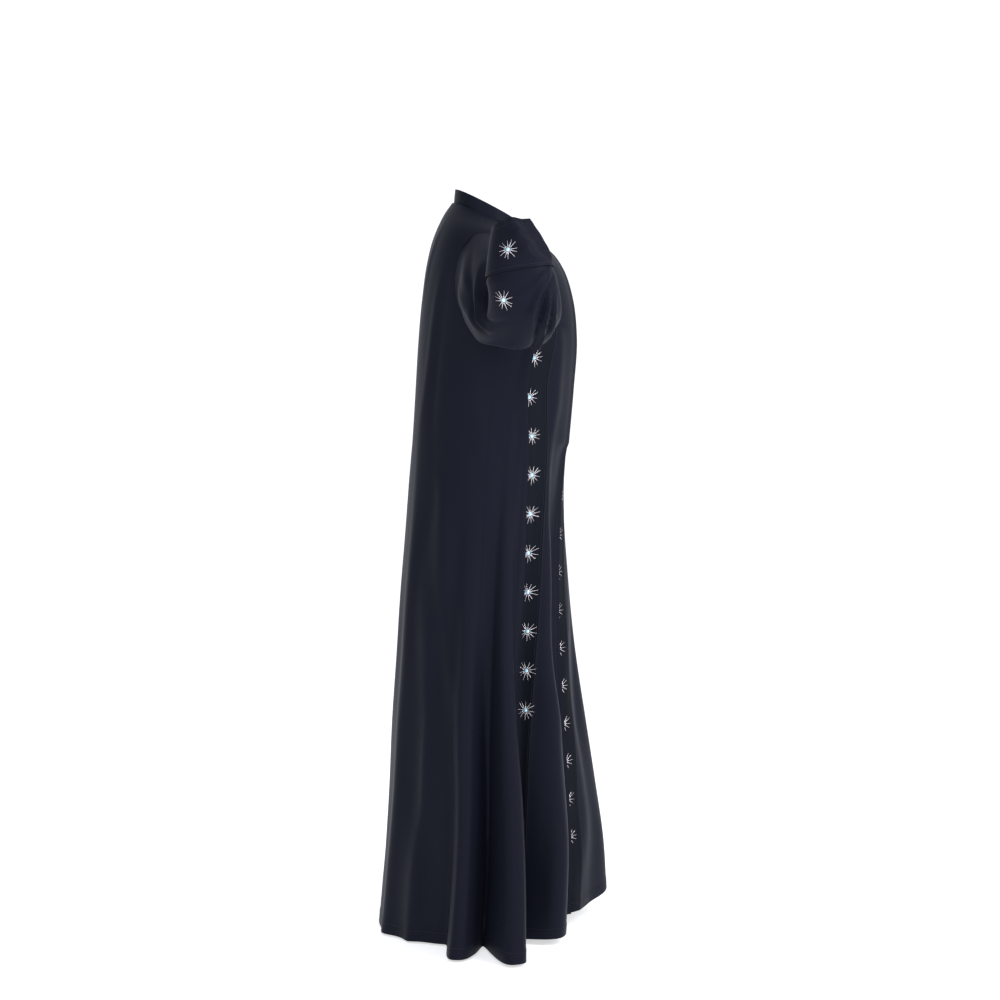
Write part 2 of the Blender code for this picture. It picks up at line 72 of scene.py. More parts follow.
# One fold down the robe. Angles are in degrees round the robe: 0 is the front, 90 the near side,
# 180 the back and 270 the far side. A fold is deepest at the hem and dies out at its top height.
Fold = namedtuple("Fold", "name hem_angle top_angle top reach half_width power flatness")
FOLDS = (
    Fold("near side flute, rear", 94.5, 97.0, 0.95, 0.106, 5.8, 2.0, 3.0),
    Fold("near side flute, front", 78.4, 72.0, 1.15, 0.150, 5.8, 2.4, 4.0),
    Fold("near back swell", 127.0, 122.0, 1.05, 0.016, 7.0, 1.4, 2.0),
    Fold("back swell, near", 151.0, 149.0, 1.20, 0.011, 7.0, 1.0, 2.0),
    Fold("back swell, far", 204.0, 202.0, 1.15, 0.013, 8.0, 1.1, 2.0),
    Fold("far back swell", 231.0, 235.0, 1.00, 0.022, 7.5, 1.3, 2.0),
    Fold("far side flute, rear", 256.0, 260.0, 0.92, 0.072, 7.0, 1.9, 3.0),
    Fold("far side flute, front", 278.0, 283.0, 1.12, 0.098, 5.8, 2.2, 3.0),
    Fold("far front swell", 303.0, 300.0, 0.85, 0.026, 8.0, 1.4, 2.0),
    Fold("front swell", 339.0, 341.0, 0.85, 0.082, 21.0, 0.9, 2.0),
    Fold("far front crease", 350.0, 352.0, 0.75, 0.010, 5.0, 1.0, 2.0),
    Fold("lap swell", 50.0, 40.0, 0.80, 0.034, 8.0, 0.9, 2.0),
    Fold("near front corner", 43.0, 42.0, 1.18, 0.014, 8.0, 0.25, 2.0),
    Fold("valley behind the lap", 68.0, 53.0, 0.90, -0.024, 6.0, 0.8, 2.0),
    Fold("hollow at the far band", 21.0, 21.0, 0.95, -0.023, 9.0, 0.3, 2.0),
)

# The star bands, by the angle of each band's free or front edge at some heights.
BAND_WIDTH = 0.047
LineAngle = namedtuple("LineAngle", "height near_band_edge far_band_edge")
BAND_LINES = (
    LineAngle(0.00, 62.0, 17.0),
    LineAngle(0.18, 60.5, 17.0),
    LineAngle(0.32, 57.5, 17.2),
    LineAngle(0.46, 53.5, 18.0),
    LineAngle(0.60, 49.5, 18.5),
    LineAngle(0.75, 47.0, 19.0),
    LineAngle(0.95, 47.0, 20.0),
    LineAngle(1.08, 51.0, 19.0),
    LineAngle(1.18, 45.0, 18.0),
    LineAngle(1.28, 36.0, 14.0),
    LineAngle(1.36, 34.0, 10.0),
    LineAngle(1.43, 34.0, 8.0),
)
LAP_OVER = 0.016
LAP_LIFT = 0.006

# The two sides, by their angle round the robe and the sign of X there.
Side = namedtuple("Side", "name angle sign")
NEAR, FAR = Side("near", 90.0, -1), Side("far", 270.0, 1)
ARMHOLE_LOW, ARMHOLE_TOP = 1.165, 1.375
ARMHOLE_FORE, ARMHOLE_AFT = 26.0, 30.0
# Just outside the armhole the sleeve narrows by this factor at this distance, in a soft flare.
FLARE_FACTOR, FLARE_OUT = 0.92, 0.014

# One section of a sleeve: its middle, and its half sizes fore and aft and across.
Section = namedtuple("Section", "out y height half_fore half_across")
SLEEVE_SECTIONS = (
    Section(0.222, 0.004, 1.236, 0.071, 0.075),
    Section(0.256, -0.007, 1.210, 0.069, 0.063),
    Section(0.288, -0.020, 1.189, 0.069, 0.054),
    Section(0.321, -0.034, 1.180, 0.065, 0.047),
    Section(0.352, -0.042, 1.196, 0.064, 0.045),
    Section(0.371, -0.043, 1.230, 0.063, 0.045),
)
CUFF_SECTIONS = (
    Section(0.373, -0.036, 1.270, 0.063, 0.047),
    Section(0.371, -0.031, 1.300, 0.055, 0.044),
    Section(0.366, -0.025, 1.330, 0.045, 0.039),
    Section(0.360, -0.020, 1.356, 0.035, 0.034),
)

# One large drape fold of a sleeve, along it from start to end, as shares of its length. Its angle
# is round the sleeve: 0 at the shoulder line, 90 in front, 180 underneath, 270 behind.
SleeveFold = namedtuple("SleeveFold", "angle start end reach half_width")
SLEEVE_FOLDS = (
    SleeveFold(232.0, 0.05, 0.70, 0.009, 15.0),
    SleeveFold(272.0, 0.08, 0.62, 0.006, 14.0),
    SleeveFold(306.0, 0.05, 0.50, 0.007, 14.0),
    SleeveFold(140.0, 0.15, 0.75, 0.007, 16.0),
    SleeveFold(85.0, 0.35, 0.95, 0.006, 16.0),
)

# The neckband starts just inside the neckline and stands a little above it, leaning in.
NECKBAND_FOOT, NECKBAND_TOP = -0.0048, 0.0271
NECKBAND_INSET, NECKBAND_LEAN = 0.0030, 0.0062

# Columns of points across each shell. Rows are shared by all the panels.
BACK_COLUMNS = 168
NEAR_FRONT_COLUMNS = 56
BAND_COLUMNS = 14
LAP_COLUMNS = 42
FAR_FRONT_COLUMNS = 110
ROWS_BELOW, ROWS_BESIDE, ROWS_ABOVE = 132, 40, 14
AROUND_SLEEVE = 128
SLEEVE_RINGS = 120
CUFF_RINGS = 34
TURNS = np.arange(AROUND_SLEEVE) * 360 / AROUND_SLEEVE  # the angles of the points round a sleeve
NECKBAND_ROWS, NECKBAND_COLUMNS = 8, 300
HEM_SAMPLES = 1200

# One crease down the robe between two heights, through three angles: at its low end, half way
# and at its high end. It rises from the cloth, or sinks into it where the rise is negative.
Crease = namedtuple("Crease", "name low high low_angle middle_angle high_angle rise half_width")
CREASES = (
    Crease("edge of the rear flute", 0.30, 0.92, 103.0, 110.0, 131.0, 0.0055, 0.018),
    Crease("easing of the back swell", -0.90, 1.05, 132.0, 127.0, 122.0, -0.0100, 0.034),
    Crease("trough behind the front fold", 0.45, 1.08, 74.0, 71.0, 70.0, -0.0030, 0.016),
    Crease("side drag, upper", 0.70, 1.12, 90.0, 93.0, 100.0, 0.0022, 0.018),
    Crease("side drag, lower", 0.20, 0.70, 116.0, 112.0, 109.0, -0.0030, 0.018),
    Crease("back drag, near", 0.35, 1.05, 140.0, 137.0, 133.0, -0.0032, 0.020),
    Crease("back drag, middle", 0.15, 0.95, 176.0, 178.0, 180.0, 0.0040, 0.024),
    Crease("back drag, far", 0.30, 1.10, 217.0, 219.0, 224.0, -0.0034, 0.020),
    Crease("shoulder drag, near", 0.98, 1.30, 150.0, 143.0, 131.0, 0.0032, 0.014),
    Crease("shoulder trough, near", 0.95, 1.28, 139.0, 133.0, 126.0, -0.0030, 0.012),
    Crease("shoulder drag, far", 0.98, 1.30, 210.0, 217.0, 229.0, 0.0032, 0.014),
    Crease("shoulder trough, far", 0.95, 1.28, 221.0, 227.0, 234.0, -0.0030, 0.012),
    Crease("yoke drag", 1.22, 1.40, 165.0, 160.0, 150.0, 0.0022, 0.012),
    Crease("far yoke drag", 1.22, 1.40, 196.0, 201.0, 211.0, 0.0022, 0.012),
    Crease("lap's inner fold", -0.10, 0.50, 42.0, 38.0, 31.0, 0.0022, 0.005),
    Crease("corner of the lap", -0.50, 0.80, 41.0, 41.0, 41.0, 0.0115, 0.022),
    Crease("slope of the lap", 0.42, 1.02, 35.0, 34.0, 34.0, -0.0090, 0.024),
    Crease("ridge past the far band", -0.25, 0.88, 4.5, 4.0, 3.5, 0.0085, 0.020),
    Crease("far front trough", 0.05, 0.70, 358.0, 357.0, 356.0, -0.0034, 0.010),
    Crease("far side drag", 0.30, 0.95, 293.0, 291.0, 289.0, -0.0034, 0.020),
    Crease("far side ridge", 0.40, 1.05, 312.0, 310.0, 306.0, 0.0034, 0.018),
    Crease("chest fold, far", 0.80, 1.25, 330.0, 334.0, 342.0, 0.0036, 0.016),
    Crease("chest trough, far", 0.78, 1.22, 320.0, 323.0, 330.0, -0.0034, 0.014),
)

# One crease of a sleeve or cuff, through three angles at its start, middle and end along it.
TubeCrease = namedtuple(
    "TubeCrease", "name start end start_angle middle_angle end_angle rise half_width"
)
SLEEVE_CREASES = (
    TubeCrease("easing of the outer arc", -0.10, 0.74, 322.0, 302.0, 232.0, -0.0040, 12.0),
    TubeCrease("trough in the drape", 0.06, 0.70, 318.0, 296.0, 220.0, -0.0064, 7.0),
    TubeCrease("inner drape", 0.18, 0.76, 334.0, 298.0, 204.0, 0.0085, 7.0),
    TubeCrease("inner trough", 0.30, 0.80, 344.0, 306.0, 200.0, -0.0065, 7.0),
    TubeCrease("under drape", 0.10, 0.62, 214.0, 200.0, 176.0, 0.0040, 10.0),
    TubeCrease("front drape", 0.08, 0.60, 60.0, 84.0, 112.0, 0.0040, 10.0),
    TubeCrease("front trough", 0.10, 0.62, 76.0, 100.0, 128.0, -0.0038, 9.0),
    TubeCrease("hooked pucker", 0.76, 0.98, 168.0, 160.0, 116.0, 0.0095, 6.0),
    TubeCrease("hollow inside the hook", 0.70, 0.95, 156.0, 148.0, 122.0, -0.0085, 5.0),
    TubeCrease("elbow pucker, upper", 0.66, 0.94, 152.0, 140.0, 134.0, 0.0060, 4.0),
    TubeCrease("elbow hollow, upper", 0.64, 0.90, 142.0, 131.0, 124.0, -0.0060, 4.0),
    TubeCrease("elbow pucker, front", 0.60, 0.90, 132.0, 122.0, 112.0, 0.0055, 5.0),
    TubeCrease("elbow pucker, low", 0.56, 0.80, 152.0, 148.0, 140.0, 0.0085, 4.5),
    TubeCrease("elbow hollow, low", 0.54, 0.78, 164.0, 158.0, 152.0, -0.0050, 5.0),
    TubeCrease("fold below the cuff", 0.89, 1.00, 196.0, 156.0, 112.0, 0.0050, 9.0),
    TubeCrease("hollow under that fold", 0.84, 0.97, 178.0, 146.0, 112.0, -0.0045, 8.0),
)
CUFF_CREASES = (
    TubeCrease("slant of the cuff", -0.70, 1.90, 118.0, 170.0, 206.0, 0.0085, 15.0),
    TubeCrease("hollow beside it", -0.70, 1.80, 92.0, 132.0, 158.0, -0.0030, 13.0),
    TubeCrease("front of the cuff", -0.60, 1.60, 76.0, 104.0, 124.0, 0.0036, 9.0),
)
CUFF_TUCK = 0.004  # how far the sleeve draws in under its cuff
CUFF_TUCK_FROM = 0.955  # the share of the sleeve's length where that starts
CUFF_SEAM_FADE = 0.25  # the share of the cuff's length over which its creases grow

# Each crease sways a little: by this share of its half width and this many radians a metre, and
# on a sleeve or cuff by these degrees and this many radians along it.
SWAY_SHARE, SWAY_TURNS = 0.6, 14.0
TUBE_SWAY, TUBE_SWAY_TURNS = 2.5, 21.0
CREASE_END_POWER = 0.8
METRES_PER_DEGREE = 0.0031  # round the robe, about
WANDER_RISE = 0.0009

# Hems are turned up once and stitched: their depth, their step and the stitches' sizes.
HEM_DEPTH, EDGE_DEPTH = 0.022, 0.012
TURN_STEP, TURN_WIDTH = 0.0007, 0.002
SEAM_RIDGE, SEAM_RIDGE_WIDTH = 0.0009, 0.0032
CUFF_STITCH_ROWS = (2, CUFF_RINGS - 5)
STITCH_LENGTH, STITCH_PITCH, STITCH_RADIUS = 0.0026, 0.0040, 0.00030
SEAM_INSET = 0.0022  # how far stitches lie inside a seam or a turned edge
LINE_SAMPLES = 2400  # points along a line, to measure its length
STEP, STEP_REACH = 0.25, 50.0  # degrees, to measure along the folded cloth
LINE_ROWS = 600

# The near front's front edge is a soft fold that lies over the band's back seam, by less above
# than below, where the band sinks behind it.
FOLD_OVER, FOLD_OVER_BELOW, FOLD_BELOW_FROM, FOLD_BELOW_TO = 0.005, 0.012, 0.62, 0.86
FOLD_LIFT, FOLD_DIES_OUT = 0.0046, 0.030
LAP_ROLL, LAP_ROLL_WIDTH = 0.0022, 0.006  # the lap's free edge stands up in a small roll

# The stars: rays of silver-lined beads round a pale crystal with small beads about it.
RAYS, RAY_SIDES = 12, 6
RAY_STEPS = (0.0, 0.06, 0.30, 0.36, 0.64, 0.70, 0.94, 1.0)  # shares of a ray's length
RAY_SWELL = (0.35, 1.0, 1.0, 0.62, 0.92, 0.60, 0.84, 0.25)  # its beads' thickness there
RAY_START, RAY_END, RAY_UNEVEN = 0.0052, 0.0180, 0.0016
RAY_LEAN, STAR_TURN = 0.09, 0.15  # how unevenly rays and whole stars are turned, in radians
RAY_RADIUS, RAY_TIP = 0.00085, 0.0004
CRYSTAL_RADIUS, CRYSTAL_HEIGHT = 0.0044, 0.0026
RIM_BEADS, RIM_BEAD_RADIUS, RIM_AT = 12, 0.0008, 0.0056
DOME_FOOT = 0.0002  # how far the foot of a bead or crystal stands off the cloth

# Where a row of stars runs: how far across the near band from its front edge, and across the far
# band from its free edge, at some heights above the floor.
StarLine = namedtuple("StarLine", "level in_near_band in_far_band")
STAR_LINES = (
    StarLine(0.18, 0.22, 0.43),
    StarLine(0.44, 0.20, 0.45),
    StarLine(0.60, 0.34, 0.44),
    StarLine(0.75, 0.52, 0.46),
    StarLine(0.90, 0.64, 0.50),
    StarLine(1.05, 0.80, 0.50),
    StarLine(1.40, 0.60, 0.50),
)
LEVEL_ROUNDS = 4  # to find the height on the cloth that the hem's rise brings to a star's level
NEAR_STARS_FROM, NEAR_STARS_TO, NEAR_STAR_PITCH = 0.443, 1.340, 0.0751
FAR_STARS_FROM, FAR_STARS_TO, FAR_STAR_PITCH = 0.176, 1.340, 0.0745
SleeveStar = namedtuple("SleeveStar", "piece share angle turn")
SLEEVE_STARS = (
    SleeveStar("sleeve", 0.88, 215.0, 8.0),
    SleeveStar("cuff", 0.40, 197.0, 0.0),
)

# The cut of each piece: its widest width and its length before it is sewn and hung, and the
# share of that rectangle that the cloth fills.
Cut = namedtuple("Cut", "width length share")

# The camera, as the photograph was taken.
CAMERA_AWAY, CAMERA_HEIGHT = 4.0, 1.038
FOCAL_PIXELS, PICTURE_PIXELS, HORIZON_PIXEL = 2004.0, 1000.0, 400.0
SENSOR = 36.0

# How the pieces look, by shader socket: near-black crepe that shines a little blue, a darker copy
# of it on the bands whose darkness is painted shade, and the rest.
CREPE = {
    "Base Color": (0.0056, 0.0065, 0.0128, 1.0),
    "Roughness": 0.56,
    "Specular IOR Level": 0.11,
    "Specular Tint": (0.78, 0.84, 1.0, 1.0),
    "Sheen Weight": 0.03,
    "Sheen Roughness": 0.40,
    "Sheen Tint": (0.55, 0.62, 0.95, 1.0),
}
LOOKS = {
    "crepe": CREPE,
    # Painted shade: the bands are the same crepe, with a darker base colour and less sheen.
    "band": {**CREPE, "Base Color": (0.0032, 0.0044, 0.0078, 1.0), "Sheen Weight": 0.02},
    "beads": {"Base Color": (0.80, 0.74, 0.78, 1.0), "Roughness": 0.22, "Metallic": 0.85},
    "crystals": {
        "Base Color": (0.52, 0.78, 0.92, 1.0),
        "Roughness": 0.08,
        "Metallic": 0.35,
        "Coat Weight": 1.0,
    },
    "thread": {"Base Color": (0.012, 0.012, 0.018, 1.0), "Roughness": 0.5},
    "floor_paper": {
        "Base Color": (0.93, 0.94, 0.97, 1.0),
        "Roughness": 0.9,
        "Emission Strength": 0.60,
    },
}
GRAIN = {"Scale": 900.0, "Detail": 3.0, "Roughness": 0.6}
GRAIN_RELIEF = {"Strength": 0.22, "Distance": 0.0005}

# The floor's reach, and the white surroundings: their strength goes from the one before the cloak
# to the one behind it where a direction's X lies between the two values named From.
FLOOR_REACH = 20.0
WORLD_COLOUR = (0.95, 0.97, 1.0, 1.0)
WORLD_FADE = {"From Min": 0.30, "From Max": 0.92, "To Min": 0.50, "To Max": 1.15}
Lamp = namedtuple("Lamp", "name place look_at size power colour")
LAMPS = (
    Lamp("key", (-1.6, -2.4, 1.0), (0.0, 0.0, -0.5), (1.2, 2.0), 62.0, (0.94, 0.97, 1.0)),
    Lamp("fill", (-3.2, 0.4, 1.0), (0.0, 0.0, -0.6), (2.4, 2.4), 35.0, (0.90, 0.94, 1.0)),
)


def smooth_curve(at, stops, values):
    """A smooth curve through the values at the stops, read at the places asked for."""
    stops = np.asarray(stops, float)
    values = np.asarray(values, float)
    steps = np.diff(stops)
    slopes = np.diff(values) / steps
    tangents = np.empty_like(values)
    tangents[0], tangents[-1] = slopes[0], slopes[-1]
    tangents[1:-1] = (slopes[:-1] * steps[1:] + slopes[1:] * steps[:-1]) / (steps[1:] + steps[:-1])
    at = np.clip(at, stops[0], stops[-1])
    i = np.clip(np.searchsorted(stops, at, side="right") - 1, 0, len(steps) - 1)
    t = (at - stops[i]) / steps[i]
    start = (2 * t**3 - 3 * t**2 + 1) * values[i] + (t**3 - 2 * t**2 + t) * steps[i] * tangents[i]
    end = (3 * t**2 - 2 * t**3) * values[i + 1] + (t**3 - t**2) * steps[i] * tangents[i + 1]
    return start + end


def table_curve(at, table, stop_name, value_name):
    """A smooth curve through one column of a table, over another column of it."""
    stops = [getattr(row, stop_name) for row in table]
    return smooth_curve(at, stops, [getattr(row, value_name) for row in table])


def ring_size(height, name):
    return table_curve(height, RINGS, "height", name)


def unit(vectors):
    return vectors / np.linalg.norm(vectors, axis=-1, keepdims=True)


def run_along(points):
    """The length of a line of points, from its start to each of them."""
    return np.concatenate([[0], np.cumsum(np.linalg.norm(np.diff(points, axis=0), axis=1))])


def bell(distance):
    return np.exp(-(distance**2))


def ease(share):
    share = np.clip(share, 0, 1)
    return share**2 * (3 - 2 * share)


def apart_in_degrees(angle, other):
    return (angle - other + 180) % 360 - 180


def fold_reach(angle, height):
    """How far the folds push the cloth out at an angle and a height."""
    reach = np.zeros(np.broadcast(angle, height).shape)
    for fold in FOLDS:
        rise = np.clip(height / fold.top, 0, 1)
        middle = fold.hem_angle + (fold.top_angle - fold.hem_angle) * rise
        apart = apart_in_degrees(angle, middle)
        profile = np.exp(-(np.abs(apart / fold.half_width) ** fold.flatness))
        reach = reach + fold.reach * (1 - rise) ** fold.power * profile
    return reach


def hem_rise(angle, height):
    """How far the hem's rises lift the cloth at an angle and a height."""
    rise = 0.0
    for place in HEM_RISES:
        rise = rise + place.rise * bell(apart_in_degrees(angle, place.angle) / place.half_width)
    return rise * np.clip(1 - height / HEM_RISE_FADES_AT, 0, 1) ** 2


def robe_point(angle, height, lift=0.0):
    """The middle of the cloth at an angle round the robe and a height, lift metres further out."""
    angle = np.asarray(angle, float)
    height = np.asarray(height, float) + 0 * angle
    fore, near = np.cos(np.radians(angle)), np.sin(np.radians(angle))
    fore = np.sign(fore) * np.abs(fore) ** (2 / RING_POWER)
    near = np.sign(near) * np.abs(near) ** (2 / RING_POWER)
    back, front, side = (ring_size(height, name) for name in ("back", "front", "side"))
    middle, half = (back + front) / 2, (back - front) / 2
    x = -side * near
    y = middle - half * fore + ring_size(height, "stride") * near * np.clip(fore, 0, None)
    z = height + hem_rise(angle, height) - ring_size(height, "drop") * (1 + fore) / 2
    away = unit(np.stack([-near / side, -fore / half], axis=-1))
    out = fold_reach(angle, height) + lift
    return np.stack([x + out * away[..., 0], y + out * away[..., 1], z], axis=-1)


def robe_normal(angle, height, lift=0.0):
    """The cloth's outward direction there, from its slopes round the robe and up it."""
    turn, climb = 0.2, 0.002
    low = np.maximum(height - climb, RINGS[0].height)
    high = np.minimum(height + climb, RINGS[-1].height)
    round_robe = robe_point(angle + turn, height, lift) - robe_point(angle - turn, height, lift)
    up_robe = robe_point(angle, high, lift) - robe_point(angle, low, lift)
    return unit(np.cross(up_robe, round_robe))


def angle_step(angle, height, distance):
    """The angle that lies this distance further round the robe, along its folded cloth."""
    way = np.sign(distance)
    ahead = np.arange(0, STEP_REACH + STEP, STEP)
    points = robe_point(np.asarray(angle, float)[..., None] + way * ahead, np.asarray(height)[..., None])
    run = np.cumsum(np.linalg.norm(np.diff(points, axis=-2), axis=-1), axis=-1)
    run = np.concatenate([np.zeros_like(run[..., :1]), run], axis=-1)
    last = np.clip((run < abs(distance)).sum(axis=-1, keepdims=True), 1, len(ahead) - 1)
    before = np.take_along_axis(run, last - 1, axis=-1)
    after = np.take_along_axis(run, last, axis=-1)
    steps = last - 1 + (abs(distance) - before) / (after - before)
    return angle + way * STEP * steps[..., 0]


def near_band_front(height):
    return table_curve(height, BAND_LINES, "height", "near_band_edge")


def tabled(line):
    """The same line, read from its angles at close heights, which is quicker."""
    heights = np.linspace(RINGS[0].height, RINGS[-1].height, LINE_ROWS)
    angles = line(heights)
    return lambda height: np.interp(height, heights, angles)


@tabled
def near_band_back(height):
    return angle_step(near_band_front(height), height, BAND_WIDTH)


def far_band_edge(height):
    return table_curve(height, BAND_LINES, "height", "far_band_edge")


@tabled
def far_band_seam(height):
    return angle_step(far_band_edge(height), height, -BAND_WIDTH)


@tabled
def lap_edge(height):
    return angle_step(far_band_edge(height), height, -LAP_OVER)


def lap_lift(angle, height):
    """The lap rises from its seam with the near band to its free edge."""
    across = (near_band_front(height) - angle) / (near_band_front(height) - lap_edge(height))
    return LAP_LIFT * ease(across)


ARMHOLE_MIDDLE = (ARMHOLE_TOP + ARMHOLE_LOW) / 2
ARMHOLE_HALF = (ARMHOLE_TOP - ARMHOLE_LOW) / 2


def armhole_bite(height, widest):
    """How many degrees the armhole takes out of a panel at a height."""
    share = np.clip((height - ARMHOLE_MIDDLE) / ARMHOLE_HALF, -1, 1)
    return widest * np.sqrt(1 - share**2)


def near_front_side(height):
    return NEAR.angle - armhole_bite(height, ARMHOLE_FORE)


def near_back_side(height):
    return NEAR.angle + armhole_bite(height, ARMHOLE_AFT)


def far_back_side(height):
    return FAR.angle - armhole_bite(height, ARMHOLE_AFT)


def far_front_side(height):
    return FAR.angle - 360 + armhole_bite(height, ARMHOLE_FORE)


def row_heights():
    """The heights of the shells' rows, closest together beside the armholes."""
    below = np.linspace(RINGS[0].height, ARMHOLE_LOW, ROWS_BELOW + 1)[:-1]
    beside = ARMHOLE_MIDDLE + ARMHOLE_HALF * np.cos(np.linspace(math.pi, 0, ROWS_BESIDE + 1))
    above = np.linspace(ARMHOLE_TOP, RINGS[-1].height, ROWS_ABOVE + 1)[1:]
    return np.concatenate([below, beside, above])


HEIGHTS = row_heights()


def even_shares(start, end, columns):
    """Shares of the way across a panel that part its folded hem into even lengths."""
    hem = RINGS[0].height
    shares = np.linspace(0, 1, HEM_SAMPLES)
    points = robe_point(start(hem) + (end(hem) - start(hem)) * shares, hem)
    run = run_along(points)
    return np.interp(np.linspace(0, run[-1], columns + 1), run, shares)


def panel_angles(start, end, columns):
    shares = even_shares(start, end, columns)
    return np.array([start(h) + (end(h) - start(h)) * shares for h in HEIGHTS])


def through_three(share, first, middle, last):
    """A smooth run of values through three, as the share goes from 0 to 1."""
    return first + share * (4 * middle - 3 * first - last) + share**2 * 2 * (first + last - 2 * middle)


def wander(first, second):
    """A slow, uneven wave between -1 and 1 over two lengths in metres."""
    return (
        np.sin(first * 31.0 + 1.9 * np.sin(second * 9.0 + 0.7))
        + np.sin(first * 17.0 - second * 13.0 + 2.1)
        + np.sin(second * 23.0 + 1.3 * np.sin(first * 11.0))
    ) / 3


def crease_rise(angle, height):
    """How far the creases raise the cloth at an angle and a height."""
    across = angle * METRES_PER_DEGREE
    rise = WANDER_RISE * wander(across, height)
    for crease in CREASES:
        share = np.clip((height - crease.low) / (crease.high - crease.low), 0, 1)
        line = through_three(share, crease.low_angle, crease.middle_angle, crease.high_angle)
        sway = SWAY_SHARE * crease.half_width * np.sin(height * SWAY_TURNS + crease.low_angle)
        apart = (apart_in_degrees(angle, line) * METRES_PER_DEGREE + sway) / crease.half_width
        along = np.sin(math.pi * share) ** CREASE_END_POWER
        rise = rise + crease.rise * along * bell(apart)
    return rise


def turned_edge(inside, depth):
    """The step of a turned edge, from how far inside that edge a point lies."""
    return TURN_STEP * ease((depth - inside) / TURN_WIDTH + 0.5)


def finish_rise(angle, height):
    """The small steps of turned hems and the ridges along the bands' seams."""
    rise = turned_edge(height - RINGS[0].height, HEM_DEPTH)
    for line in (near_band_front(height), far_band_seam(height)):
        apart = apart_in_degrees(angle, line) * METRES_PER_DEGREE / SEAM_RIDGE_WIDTH
        rise = rise + SEAM_RIDGE * bell(apart)
    return rise


def lap_edge_rise(angle, height):
    """The lap's turned edge: a step where it is stitched, and a small roll at the very edge."""
    inside = apart_in_degrees(angle, lap_edge(height)) * METRES_PER_DEGREE
    return turned_edge(inside, EDGE_DEPTH) + LAP_ROLL * bell(inside / LAP_ROLL_WIDTH)


@tabled
def front_fold_start(height):
    above = angle_step(near_band_back(height), height, -FOLD_OVER)
    below = angle_step(near_band_back(height), height, -FOLD_OVER_BELOW)
    share = (height - FOLD_BELOW_FROM) / (FOLD_BELOW_TO - FOLD_BELOW_FROM)
    return below + (above - below) * ease(share)


def front_fold_rise(angle, height):
    """The near front's fold over the band's back seam, highest at its edge."""
    behind = apart_in_degrees(angle, front_fold_start(height)) * METRES_PER_DEGREE
    return FOLD_LIFT * ease(1 - behind / FOLD_DIES_OUT)


def robe_cloth(angle, height, finish=None):
    """The cloth's middle and outward direction, with its creases and finish.

    The finish is "lap" or "front fold" for the two pieces whose edges stand off the cloth below.
    """
    lift = lap_lift(angle, height) if finish == "lap" else 0.0
    points = robe_point(angle, height, lift)
    normals = robe_normal(angle, height, lift)
    rise = crease_rise(angle, height) + finish_rise(angle, height)
    if finish == "lap":
        rise = rise + lap_edge_rise(angle, height)
    if finish == "front fold":
        rise = rise + front_fold_rise(angle, height)
    return points + normals * rise[..., None], normals


def grid_normals(points, like):
    """Each point's direction square to the grid, on the side of the directions given."""
    rows = np.gradient(points, axis=0)
    columns = np.gradient(points, axis=1)
    normals = unit(np.cross(rows, columns))
    return normals * np.sign((normals * like).sum(axis=-1, keepdims=True))


def armhole_loop(side):
    """The points round an armhole: the shoulder first, then forward."""
    turns = np.radians(TURNS)
    height = ARMHOLE_MIDDLE + ARMHOLE_HALF * np.cos(turns)
    widest = np.where(np.sin(turns) > 0, ARMHOLE_FORE, ARMHOLE_AFT)
    points, _ = robe_cloth(side.angle + side.sign * widest * np.sin(turns), height)
    return points


def section_loop(section, tangent, sign):
    """The points round one section of a sleeve, which lies square to the sleeve's direction."""
    forward = np.array((0.0, -1.0, 0.0))
    fore = unit(forward - tangent * (forward @ tangent))
    across = unit(np.cross(fore, tangent)) * sign
    turns = np.radians(TURNS)
    middle = np.array((sign * section.out, section.y, section.height))
    return (
        middle
        + np.cos(turns)[:, None] * across * section.half_across
        + np.sin(turns)[:, None] * fore * section.half_fore
    )


def section_loops(sections, sign, start=None):
    """The loops of a table of sections, which lean as the path through their middles does."""
    middles = [np.array((sign * s.out, s.y, s.height)) for s in sections]
    if start is None:
        tangents = np.gradient(np.array(middles), axis=0)
    else:
        tangents = np.gradient(np.array([start, *middles]), axis=0)[1:]
    return [section_loop(s, t, sign) for s, t in zip(sections, unit(tangents))]


def tube_normals(rings):
    along = np.gradient(rings, axis=0)
    around = np.roll(rings, -1, axis=1) - np.roll(rings, 1, axis=1)
    normals = unit(np.cross(along, around))
    outward = rings - rings.mean(axis=1, keepdims=True)
    flip = np.sign((normals * outward).sum(axis=(1, 2), keepdims=True))
    return normals * flip


def smooth_rings(loops, count):
    """Rings at even steps along a smooth tube through the loops."""
    loops = np.array(loops)
    run = run_along(loops.mean(axis=1))
    at = np.linspace(0, run[-1], count)
    curves = [smooth_curve(at, run, values) for values in loops.reshape(len(loops), -1).T]
    return np.stack(curves, axis=1).reshape(count, *loops.shape[1:])


def sleeve_rise():
    """How far the drape folds, the creases and the cuff's tuck move a sleeve's cloth."""
    along = np.linspace(0, 1, SLEEVE_RINGS)[:, None]
    rise = crease_rises(along, SLEEVE_CREASES)
    for fold in SLEEVE_FOLDS:
        share = np.clip((along - fold.start) / (fold.end - fold.start), 0, 1)
        apart = apart_in_degrees(TURNS, fold.angle)
        rise += fold.reach * np.sin(math.pi * share) * bell(apart / fold.half_width)
    return rise - CUFF_TUCK * ease((along - CUFF_TUCK_FROM) / (1 - CUFF_TUCK_FROM))


def crease_rises(along, creases):
    """How far the creases of a sleeve or cuff raise its cloth."""
    rise = 0.0
    for crease in creases:
        share = np.clip((along - crease.start) / (crease.end - crease.start), 0, 1)
        line = through_three(share, crease.start_angle, crease.middle_angle, crease.end_angle)
        sway = TUBE_SWAY * np.sin(along * TUBE_SWAY_TURNS + crease.start_angle)
        apart = apart_in_degrees(TURNS, line) + sway
        rise = rise + crease.rise * np.sin(math.pi * share) * bell(apart / crease.half_width)
    return rise


